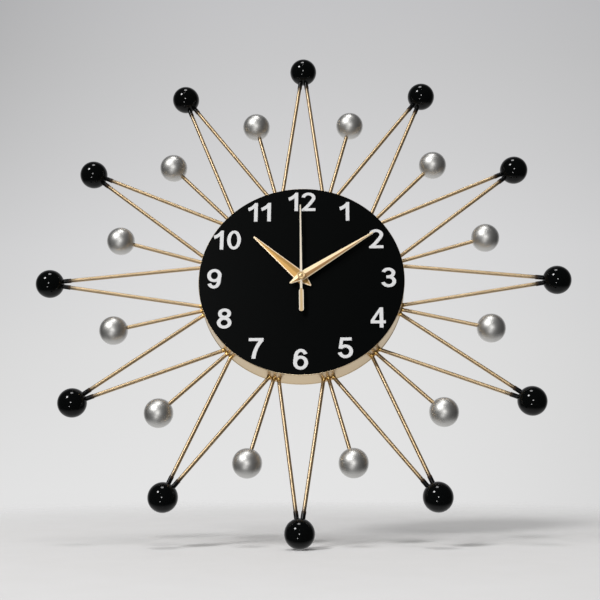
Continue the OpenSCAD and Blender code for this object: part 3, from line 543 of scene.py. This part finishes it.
# %% Recolour the second hand
BAR_HALF = 2.15
BAR_START = 13
HUB_R = 4
point = hand_frame(second_gold, SECOND_ANGLE)
tree = second_gold.node_tree
aside = add(tree, "ShaderNodeMath", {0: point.outputs["X"]}, operation="ABSOLUTE")
near_edge = add(tree, "ShaderNodeMapRange", {
    "Value": aside.outputs["Value"], "From Min": (BAR_HALF - EDGE_HIGHLIGHT_W - PAINTED_TONE_BLEND / 2) * MM,
    "From Max": (BAR_HALF - EDGE_HIGHLIGHT_W + PAINTED_TONE_BLEND / 2) * MM,
})
needle = add(tree, "ShaderNodeMath", {
    0: point.outputs["Z"], 1: -BAR_START * MM,
}, operation="GREATER_THAN")
pale = add(tree, "ShaderNodeMath", {
    0: near_edge.outputs["Result"], 1: needle.outputs["Value"],
}, operation="MAXIMUM")
along = add(tree, "ShaderNodeMath", {0: point.outputs["Z"]}, operation="ABSOLUTE")
past_hub = add(tree, "ShaderNodeMath", {
    0: along.outputs["Value"], 1: HUB_R * MM,
}, operation="GREATER_THAN")
# Painted highlight over the whole needle and along the bar's edges, outside the hub
painted_highlight = add(tree, "ShaderNodeMath", {
    0: pale.outputs["Value"], 1: past_hub.outputs["Value"],
}, operation="MULTIPLY")
recoloured(second_gold, painted_highlight.outputs["Value"], "#fff3de")
print("second hand is pale past", HUB_R, "mm, and its bar starts at", BAR_START, "mm")

# %% [markdown]
# ## Lacquers and paints
# The black balls are polished lacquer: almost no colour of their own, a sharp gloss, and the very slight
# waviness that painters call orange peel. The dial is a satin black paint, and the numerals are enamel.

# %% Black lacquer, dial paint and white enamel
# Orange peel on a polished ball is some 2 mm across and very shallow
black_lacquer = grained("polished_black_lacquer", "#040505", "#060707", grain=2.2, smooth=0.06, rough=0.08,
                        relief=0.0006, Specular_IOR_Level=0.2)
# Sprayed dial paint has a fine tooth, drawn 0.6 mm across so that the render can show it
dial_paint = grained("satin_black_dial_paint", "#010202", "#020303", grain=0.6, smooth=0.28, rough=0.3,
                     Specular_IOR_Level=0.1)
# Enamel flows out smooth, with a soft even sheen
white_enamel = grained("satin_white_enamel", "#c5c5c6", "#cdcdcd", grain=5, smooth=0.4, rough=0.5)

# %% [markdown]
# ## Silver balls
# The silver balls are sprayed with a satin metallic paint whose flakes scatter the light. A satin surface
# mirrors more sharply at a glance than straight on, so the pale floor shows along the lower rim of each
# ball while the lamps stay soft on its face. Roughness that falls towards the rim gives both.

# %% Silver paint
RIM_START = 0.3
RIM_END = 0.9
FACE_SATIN = 1.1
RIM_SATIN = 0.55
# Metal flakes are 0.05 mm; they are drawn 0.5 mm across so that the render can show them
silver_paint = grained("satin_silver_metallic_paint", "#d3d2cf", "#d6d5d2", grain=0.5, smooth=0.42,
                       rough=0.44, Metallic=1.0)
tree = silver_paint.node_tree
gloss = tree.nodes["Principled BSDF"].inputs["Roughness"]
glance = add(tree, "ShaderNodeLayerWeight")
rim_gloss = add(tree, "ShaderNodeMapRange", {
    "Value": glance.outputs["Facing"], "From Min": RIM_START, "From Max": RIM_END,
    "To Min": FACE_SATIN, "To Max": RIM_SATIN,
})
satin = add(tree, "ShaderNodeMath", {
    0: gloss.links[0].from_socket, 1: rim_gloss.outputs["Result"],
}, operation="MULTIPLY")
tree.links.new(satin.outputs["Value"], gloss)

# %% [markdown]
# ## What is behind the dial
# The back is plain and cheap, as on most clocks of this kind: powder-coated plate, zinc-plated screws,
# a movement moulded in black ABS, acetal wheels, brass pipes, and one cell between nickel strips.
# Each finish is only a grain, two near colours and two near roughnesses.

# %% Finishes of the back and of the movement
# Powder coat cures to a fine orange peel, about a millimetre across
powder_coat = grained("black_powder_coat", "#1a1a1b", "#212122", grain=0.9, smooth=0.45, rough=0.6,
                      relief=0.03)
# Zinc plating is bluish and a little cloudy
zinc_plate = grained("zinc_plated_steel", "#a9adb0", "#c0c3c4", grain=3, smooth=0.25, rough=0.4,
                     Metallic=1.0)
# Nickel is warmer and brighter than zinc
nickel_strip = grained("nickel_plated_spring_strip", "#b8b4ab", "#cac7bf", grain=2, smooth=0.18, rough=0.3,
                       Metallic=1.0)
# Moulded ABS keeps the spark texture of its tool, drawn 0.5 mm across
black_abs = grained("moulded_black_abs", "#2b2c2e", "#333437", grain=0.5, smooth=0.4, rough=0.55,
                    relief=0.015)
# Moulded rubber is dry and dull
nitrile = grained("moulded_nitrile_rubber", "#141414", "#1b1b1b", grain=0.8, smooth=0.65, rough=0.8,
                  relief=0.01)
# Turned brass keeps fine marks of the tool, drawn 0.3 mm across
turned_brass = grained("turned_brass", "#b8924e", "#caa765", grain=0.3, smooth=0.2, rough=0.34,
                       relief=0.003, Metallic=1.0)
# Moulded acetal is milky, with a soft sheen
acetal = grained("moulded_white_acetal", "#dbd7ca", "#e4e1d6", grain=4, smooth=0.35, rough=0.45)
# Enamelled copper wire of 0.05 mm, its turns drawn 0.3 mm apart
copper_winding = grained("enamelled_copper_winding", "#7a3a1c", "#b0623a", grain=0.3, smooth=0.25,
                         rough=0.4, relief=0.02, stretch=(1, 12, 12), Metallic=0.8)
# Solder mask is a smooth film over the copper
solder_mask = grained("green_solder_mask", "#12502c", "#176038", grain=2.5, smooth=0.25, rough=0.35)
# Sintered ferrite is a dull grey with a fine pitting
ferrite = grained("sintered_ferrite_magnet", "#3a3b3d", "#4a4b4e", grain=0.6, smooth=0.4, rough=0.55,
                  relief=0.01)
# Punched silicon steel is grey, with a thin film of oil
silicon_steel = grained("punched_silicon_steel", "#7d8085", "#90939a", grain=1.5, smooth=0.3, rough=0.45,
                        Metallic=1.0)

# %% [markdown]
# ## Dress the nodes
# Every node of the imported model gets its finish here. Its mesh stays as it is, so that the clock still
# fits together as it was packed.

# %% Give each node its finish
HOURS = range(1, 13)
finishes = {
    champagne_steel: ["case_pan"],
    dial_paint: ["dial_plate"],
    white_enamel: ["numerals"],
    brass_wire: ["vee_spokes", "short_spokes"],
    shrunk_pvc: ["leg_sleeves"],
    hour_gold: ["hour_hand"],
    minute_gold: ["minute_hand"],
    second_gold: ["second_hand"],
    black_lacquer: [f"black_ball_{h}" for h in HOURS],
    silver_paint: [f"silver_ball_{h}" for h in HOURS],
    powder_coat: ["back_plate"],
    zinc_plate: ["back_lugs", "back_screws", "crystal"],
    black_abs: ["movement_housing", "movement_cover", "setting_knob"],
    nitrile: ["gasket"],
    turned_brass: ["washer", "fixing_nut", "centre_wheel", "minute_pipe"],
    acetal: ["intermediate_wheel", "second_wheel", "third_wheel", "motion_wheel", "hour_wheel"],
    ferrite: ["rotor"],
    silicon_steel: ["stator"],
    copper_winding: ["coil"],
    solder_mask: ["circuit_board"],
    nickel_strip: ["positive_contact", "negative_contact", "battery"],
}
for material, names in finishes.items():
    for name in names:
        nodes[name].data.materials.clear()
        nodes[name].data.materials.append(material)
print("dressed", sum(len(names) for names in finishes.values()), "of", len(nodes), "nodes")

# %% [markdown]
# ## Soft edges
# A stamped or moulded edge is never quite sharp. A narrow bevel gives each edge a thin line of light,
# which is what makes the ridged hands and the raised numerals read as real pieces. A modifier does it
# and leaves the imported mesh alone.

# %% Bevel the sharp edges
EDGE_RADII = {
    "hour_hand": 0.3, "minute_hand": 0.3, "second_hand": 0.2, "numerals": 0.12, "dial_plate": 0.2,
    "back_plate": 0.3, "movement_cover": 0.25, "setting_knob": 0.15, "back_screws": 0.12,
    "fixing_nut": 0.15,
}
EDGE_ANGLE = math.radians(20)
EDGE_SEGMENTS = 2


def soften(thing, radius):
    """Bevels the sharp edges of an object to a radius in millimetres."""
    bevel = thing.modifiers.new("soft_edge", "BEVEL")
    bevel.width = radius * MM
    bevel.segments = EDGE_SEGMENTS
    bevel.limit_method = "ANGLE"
    bevel.angle_limit = EDGE_ANGLE


for name, radius in EDGE_RADII.items():
    soften(nodes[name], radius)
print("softened the edges of", len(EDGE_RADII), "nodes")

# %% [markdown]
# ## Turned pieces
# The drum, the braze fillets, the hub's rim and the cell are all round, so one helper turns a profile
# about any axis, like a lathe. A profile is a list of places along the axis and radii, and a second
# helper rounds its corners first. A third one makes an object that rides on one of the clock's bodies.

# %% Helpers for turned pieces
EASE_STEPS = 5
MERGE_DISTANCE = 0.001 * MM
SMOOTH_ANGLE = math.radians(35)


def eased(corners):
    """A closed profile with rounded corners; each corner is along, radius, and the reach of its curve."""
    points = []
    for i, (along, radius, reach) in enumerate(corners):
        corner = Vector((along, radius))
        before = Vector(corners[i - 1][:2]) - corner
        after = Vector(corners[(i + 1) % len(corners)][:2]) - corner
        start = corner + reach * before.normalized()
        end = corner + reach * after.normalized()
        bend = [k / EASE_STEPS for k in range(EASE_STEPS + 1)] if reach else [0]
        points += [(1 - t) ** 2 * start + 2 * t * (1 - t) * corner + t ** 2 * end for t in bend]
    return points


def turned(shape, profile, origin, axis, steps):
    """Adds a closed profile, in millimetres, turned about an axis through the origin."""
    axis = axis.normalized()
    across = axis.orthogonal().normalized()
    other = axis.cross(across)
    rings = []
    for k in range(steps):
        angle = 2 * math.pi * k / steps
        outward = math.cos(angle) * across + math.sin(angle) * other
        rings.append([shape.verts.new(origin + MM * (p[0] * axis + p[1] * outward)) for p in profile])
    for k, ring in enumerate(rings):
        following = rings[(k + 1) % steps]
        for i in range(len(profile)):
            j = (i + 1) % len(profile)
            shape.faces.new((ring[i], ring[j], following[j], following[i]))


def piece(name, shape, body, material):
    """Makes an object of a shape, with soft shading, that rides on a body and takes the given finish."""
    bmesh.ops.remove_doubles(shape, verts=shape.verts, dist=MERGE_DISTANCE)
    bmesh.ops.recalc_face_normals(shape, faces=shape.faces)
    mesh = bpy.data.meshes.new(name)
    shape.to_mesh(mesh)
    shape.free()
    mesh.shade_smooth()
    mesh.set_sharp_from_angle(angle=SMOOTH_ANGLE)
    mesh.materials.append(material)
    made = bpy.data.objects.new(name, mesh)
    scene.collection.objects.link(made)
    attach(made, body)
    print(name, "has", len(mesh.polygons), "faces")
    return made


# %% [markdown]
# ## Drum
# The drum is one spun pan. Spinning can't leave a sharp corner: its front edge is rolled into a thin
# bead that frames the dial, and its rear edge curls out a little where it meets the wall. Both catch a
# thin bright line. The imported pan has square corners, so a lathe profile with both takes its place.

# %% Turn the drum
TOWARDS_VIEWER = Vector((0, -1, 0))
AXIS_AT_WALL = on_dial(0, 0, 0)
PAN_WALL = 1.5
PAN_FRONT = 1.0
PAN_CORNER = 0.8
BUSH_HOLE_R = 3.55
BEAD = 0.28
BEAD_FOOT = 1.1
BEAD_SET = 0.1
DIAL_GAP = 0.02
CURL = 0.4
CURL_LEN = 1.3
CURL_EASE = 0.5
EDGE_EASE = 0.4
DRUM_STEPS = 240
front_inside = DIAL_BACK - PAN_FRONT
wall_inside = CASE_R - PAN_WALL
bead_rear = DIAL_BACK - BEAD_FOOT
bead_front = DIAL_FACE - BEAD_SET
bead_inside = CASE_R + DIAL_GAP
pan_profile = eased([
    (front_inside, BUSH_HOLE_R, 0), (front_inside, wall_inside, PAN_CORNER), (0, wall_inside, EDGE_EASE),
    (0, CASE_R + CURL, CURL_EASE), (CURL_LEN, CASE_R + CURL, CURL_EASE),
    (CURL_LEN + CURL, CASE_R, EDGE_EASE), (bead_rear, CASE_R, EDGE_EASE),
    (bead_rear + BEAD, CASE_R + BEAD, EDGE_EASE), (bead_front, CASE_R + BEAD, EDGE_EASE),
    (bead_front, bead_inside, DIAL_GAP), (DIAL_BACK, bead_inside, 0), (DIAL_BACK, BUSH_HOLE_R, 0),
])
drum_shape = bmesh.new()
turned(drum_shape, pan_profile, AXIS_AT_WALL, TOWARDS_VIEWER, DRUM_STEPS)
drum = piece("spun_drum", drum_shape, "case", champagne_steel)
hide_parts("case_pan")

# %% [markdown]
# ## Lie of the spokes
# Three wires meet the wall close together: two legs of neighbouring vees and a short spoke between
# them. All slope forward from their roots. Each is drawn at twelve and then turned to its hour, which
# gives the root and the direction of all 36.

# %% Lay out the spokes
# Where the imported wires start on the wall, and how far from a ball's middle they stop
HOUR_STEP = 30
ROOT_DEPTH = 8
BUNCH_PITCH = 4.4
LEG_END_X = 2.0
SPOKE_STOP = 8
SILVER_RING = 180
slope = (black_depth - ROOT_DEPTH) / (black_ring - CASE_R)
leg_angle = HOUR_STEP / 2 - math.degrees(math.asin(BUNCH_PITCH / CASE_R))
short_stop = SILVER_RING - SPOKE_STOP
short_end = (0, short_stop, ROOT_DEPTH + slope * (short_stop - CASE_R))


def clockwise(x, up, degrees):
    """A place on the dial, turned clockwise about the hand axis."""
    turn = math.radians(degrees)
    return x * math.cos(turn) + up * math.sin(turn), up * math.cos(turn) - x * math.sin(turn)


def spoke(root, end, degrees):
    """Root and direction of a spoke that is drawn at twelve and turned clockwise."""
    start = on_dial(*clockwise(root[0], root[1], degrees), root[2])
    tip = on_dial(*clockwise(end[0], end[1], degrees), end[2])
    return start, tip - start


spokes = []
for h in HOURS:
    for side in (-1, 1):
        leg_root = (*clockwise(0, CASE_R, side * leg_angle), ROOT_DEPTH)
        leg_end = (side * LEG_END_X, black_ring - SPOKE_STOP, black_depth)
        spokes.append(spoke(leg_root, leg_end, h * HOUR_STEP))
    spokes.append(spoke((0, CASE_R, ROOT_DEPTH), short_end, (h + 0.5) * HOUR_STEP))
print("laid out", len(spokes), "spokes, legs", round(leg_angle, 2), "degrees aside")

# %% [markdown]
# ## Brazed roots
# Braze has run into the corner round each wire as a small hollow fillet. Each one is a short flare turned
# about its wire, which starts inside the wall so that no gap shows on the curved surface.

# %% Turn the braze fillets
WIRE_R = 1.8
FLARE_SINK = 0.9
FLARE_REACH = 2.6
FLARE_WIDTH = 1.0
FLARE_POWER = 2.2
FLARE_INSET = 0.3
FLARE_SKIN = 0.03
FLARE_STEPS = 6
BRAZE_STEPS = 20
flare = [(-FLARE_SINK, WIRE_R - FLARE_INSET), (-FLARE_SINK, WIRE_R + FLARE_WIDTH)]
for k in range(FLARE_STEPS + 1):
    t = k / FLARE_STEPS
    flare.append((t * FLARE_REACH, WIRE_R + FLARE_SKIN + FLARE_WIDTH * (1 - t) ** FLARE_POWER))
flare.append((FLARE_REACH, WIRE_R - FLARE_INSET))
braze_shape = bmesh.new()
for root, direction in spokes:
    turned(braze_shape, flare, root, direction, BRAZE_STEPS)
piece("braze_fillets", braze_shape, "case", braze)

# %% [markdown]
# ## Hub
# The second hand ends in a round hub: a pressed cap with a raised rim, a hollow and the domed end of the
# arbor in the middle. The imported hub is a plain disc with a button, so a rim is turned on top of the
# disc, and a dome over the button.

# %% Turn the hub's rim and the arbor's dome
BUTTON_H = 0.5
RIM_IN = 2.6
RIM_OUT = 3.78
RIM_H = 0.35
RIM_SINK = 0.2
RIM_EASE_OUT = 0.25
RIM_EASE_IN = 0.35
DOME_R = 1.62
DOME_H = 0.32
DOME_SINK = 0.1
DOME_STEPS = 8
HUB_STEPS = 48
second_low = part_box("second_hand")[0]
hub_top = -second_low.y / MM - BUTTON_H
rim_profile = eased([
    (hub_top - RIM_SINK, RIM_IN, 0), (hub_top - RIM_SINK, RIM_OUT, 0),
    (hub_top + RIM_H, RIM_OUT, RIM_EASE_OUT), (hub_top + RIM_H, RIM_IN, RIM_EASE_IN),
])
dome_profile = [(hub_top - DOME_SINK, 0), (hub_top - DOME_SINK, DOME_R)]
for k in range(DOME_STEPS + 1):
    quarter = math.pi / 2 * k / DOME_STEPS
    dome_profile.append((hub_top + BUTTON_H + DOME_H * math.sin(quarter), DOME_R * math.cos(quarter)))
hub_shape = bmesh.new()
for profile in (rim_profile, dome_profile):
    turned(hub_shape, profile, AXIS_AT_WALL, TOWARDS_VIEWER, HUB_STEPS)
piece("hub_rim", hub_shape, "second", second_gold)

# %% [markdown]
# ## Cell
# The movement runs on one AA cell. A shrunk plastic film covers the can and turns in over both ends,
# which leaves a bare steel disc at the minus end and the button at the plus end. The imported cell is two
# plain cylinders, so a film and two steel ends are turned about the same axis and take its place.

# %% Draw the cell's profiles
FILM_T = 0.4
FILM_LAP = 1.3
FILM_EASE = 0.7
LAP_EASE = 0.1
END_T = 1
END_SET = 0.2
DISH_R = 4.2
DISH_OUT_R = 4.8
DISH_SET = 0.45
DISH_EASE = 0.2
STEP_R = 4.6
STEP_SET = 0.5
STEP_EASE = 0.3
BUTTON_R = 2.75
BUTTON_LEN = 1.3
BUTTON_EASE = 0.5
cell_low, cell_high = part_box("battery")
cell_r = (cell_high.z - cell_low.z) / 2 / MM
cell_len = (cell_high.x - cell_low.x) / MM
shoulder = cell_len - BUTTON_LEN
lap_r = cell_r - FILM_LAP
under_film = cell_r - FILM_T
film_profile = eased([
    (0, lap_r, LAP_EASE), (0, cell_r, FILM_EASE),
    (shoulder, cell_r, FILM_EASE), (shoulder, lap_r, LAP_EASE),
    (shoulder - FILM_T, lap_r, 0), (shoulder - FILM_T, under_film, 0),
    (FILM_T, under_film, 0), (FILM_T, lap_r, 0),
])
minus_profile = eased([
    (END_SET, 0, 0), (END_SET, DISH_R, DISH_EASE), (DISH_SET, DISH_OUT_R, DISH_EASE),
    (DISH_SET, under_film, 0), (END_T, under_film, 0), (END_T, 0, 0),
])
plus_profile = eased([
    (shoulder - END_T, 0, 0), (shoulder - END_T, under_film, 0), (shoulder - STEP_SET, under_film, 0),
    (shoulder - END_SET, STEP_R, STEP_EASE), (shoulder - END_SET, BUTTON_R, STEP_EASE),
    (cell_len, BUTTON_R, BUTTON_EASE), (cell_len, 0, 0),
])
print(f"cell is {cell_len:.1f} mm long and {2 * cell_r:.1f} mm thick")

# %% [markdown]
# ## Film and ends
# Shrink film is smooth and glossy. A plain pale band near the button tells the ends apart, as a printed
# one would, and a mask along the cell is enough to lay it on.

# %% Turn the cell
BAND_LEN = 11
CELL_STEPS = 64
ALONG_CELL = Vector((1, 0, 0))
cell_foot = Vector((cell_low.x, (cell_low.y + cell_high.y) / 2, (cell_low.z + cell_high.z) / 2))
cell_film = grained("shrunk_slate_film", "#333b46", "#3b4450", grain=6, smooth=0.21, rough=0.23)
tree = cell_film.node_tree
place = add(tree, "ShaderNodeTexCoord")
along = add(tree, "ShaderNodeSeparateXYZ", {"Vector": place.outputs["Object"]})
band = add(tree, "ShaderNodeMath", {
    0: along.outputs["X"], 1: cell_foot.x + (shoulder - BAND_LEN) * MM,
}, operation="GREATER_THAN")
recoloured(cell_film, band.outputs["Value"], "#b9bec4")

film_shape = bmesh.new()
turned(film_shape, film_profile, cell_foot, ALONG_CELL, CELL_STEPS)
film_piece = piece("cell_film", film_shape, "cell", cell_film)
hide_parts("battery")
ends_shape = bmesh.new()
for profile in (minus_profile, plus_profile):
    turned(ends_shape, profile, cell_foot, ALONG_CELL, CELL_STEPS)
piece("cell_ends", ends_shape, "cell", nickel_strip)

# %% [markdown]
# ## Marks on the movement's cover
# A moulded cover carries low raised marks: two arrows round the setting knob, a plus and a minus beside
# the cell's bay, and a rib round its border. Each is a flat outline raised from the cover by a third of
# a millimetre, and a bevel softens it as the tool's draft does.

# %% Helpers for raised marks
MARK_H = 0.3
ARROW_R = 6.9
ARROW_W = 0.9
ARROW_HEAD = 1.3
ARROW_SWEEP = 110
ARROW_STEPS = 12
HEAD_START = 0.8
cover_low, cover_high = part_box("movement_cover")
knob_low, knob_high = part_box("setting_knob")
cover_rear = -cover_high.y / MM
knob_x = (knob_low.x + knob_high.x) / 2 / MM
knob_up = ((knob_low.z + knob_high.z) / 2 - AXIS_Z) / MM


def raised(shape, outline):
    """Raises a flat outline of places on the dial from the cover's rear face."""
    foot = [shape.verts.new(on_dial(x, up, cover_rear + MARK_H)) for x, up in outline]
    top = [shape.verts.new(on_dial(x, up, cover_rear - MARK_H)) for x, up in outline]
    shape.faces.new(foot)
    shape.faces.new(top)
    for i in range(len(outline)):
        j = (i + 1) % len(outline)
        shape.faces.new((foot[i], foot[j], top[j], top[i]))


def bar(x0, up0, x1, up1):
    """Outline of an upright rectangle."""
    return [(x0, up0), (x1, up0), (x1, up1), (x0, up1)]


def round_arrow(start):
    """Outline of an arrow that runs round the knob from this many degrees past its top."""
    def at(radius, share):
        x, up = clockwise(0, radius, start + share * ARROW_SWEEP)
        return knob_x + x, knob_up + up

    shares = [HEAD_START * k / ARROW_STEPS for k in range(ARROW_STEPS + 1)]
    outer = [at(ARROW_R + ARROW_W / 2, t) for t in shares]
    inner = [at(ARROW_R - ARROW_W / 2, t) for t in reversed(shares)]
    head = [at(ARROW_R + ARROW_HEAD, HEAD_START), at(ARROW_R, 1), at(ARROW_R - ARROW_HEAD, HEAD_START)]
    return outer + head + inner


print("marks stand", MARK_H, "mm off the cover, round a knob at", (round(knob_x, 1), round(knob_up, 1)))

# %% [markdown]
# ## Arrows, signs and rib
# The two arrows chase each other round the knob. The signs stand at the foot of the cover, minus on one
# side and plus on the other, and a plus is one arm's outline turned four times. The rib is four bars.

# %% Raise the marks
ARROW_STARTS = (20, 200)
SIGN_SIZE = 4.2
SIGN_W = 0.9
SIGN_X = 22
SIGN_GAP = 1
RIB_W = 0.8
RIB_INSET = 1.6
MARK_EDGE = 0.1
rib_low = (cover_low.z - AXIS_Z) / MM + RIB_INSET
rib_high = (cover_high.z - AXIS_Z) / MM - RIB_INSET
rib_side = cover_high.x / MM - RIB_INSET
reach = SIGN_SIZE / 2
half = SIGN_W / 2
sign_up = rib_low + RIB_W + reach + SIGN_GAP
marks_shape = bmesh.new()
for start in ARROW_STARTS:
    raised(marks_shape, round_arrow(start))
raised(marks_shape, bar(-SIGN_X - reach, sign_up - half, -SIGN_X + reach, sign_up + half))
cross = []
for turn in (0, 90, 180, 270):
    cross += [clockwise(x, up, turn) for x, up in ((-half, half), (-half, reach), (half, reach))]
raised(marks_shape, [(SIGN_X + x, sign_up + up) for x, up in cross])
raised(marks_shape, bar(-rib_side, rib_low, rib_side, rib_low + RIB_W))
raised(marks_shape, bar(-rib_side, rib_high - RIB_W, rib_side, rib_high))
for left in (-rib_side, rib_side - RIB_W):
    raised(marks_shape, bar(left, rib_low + RIB_W, left + RIB_W, rib_high - RIB_W))
marks = piece("cover_marks", marks_shape, "case", black_abs)
soften(marks, MARK_EDGE)
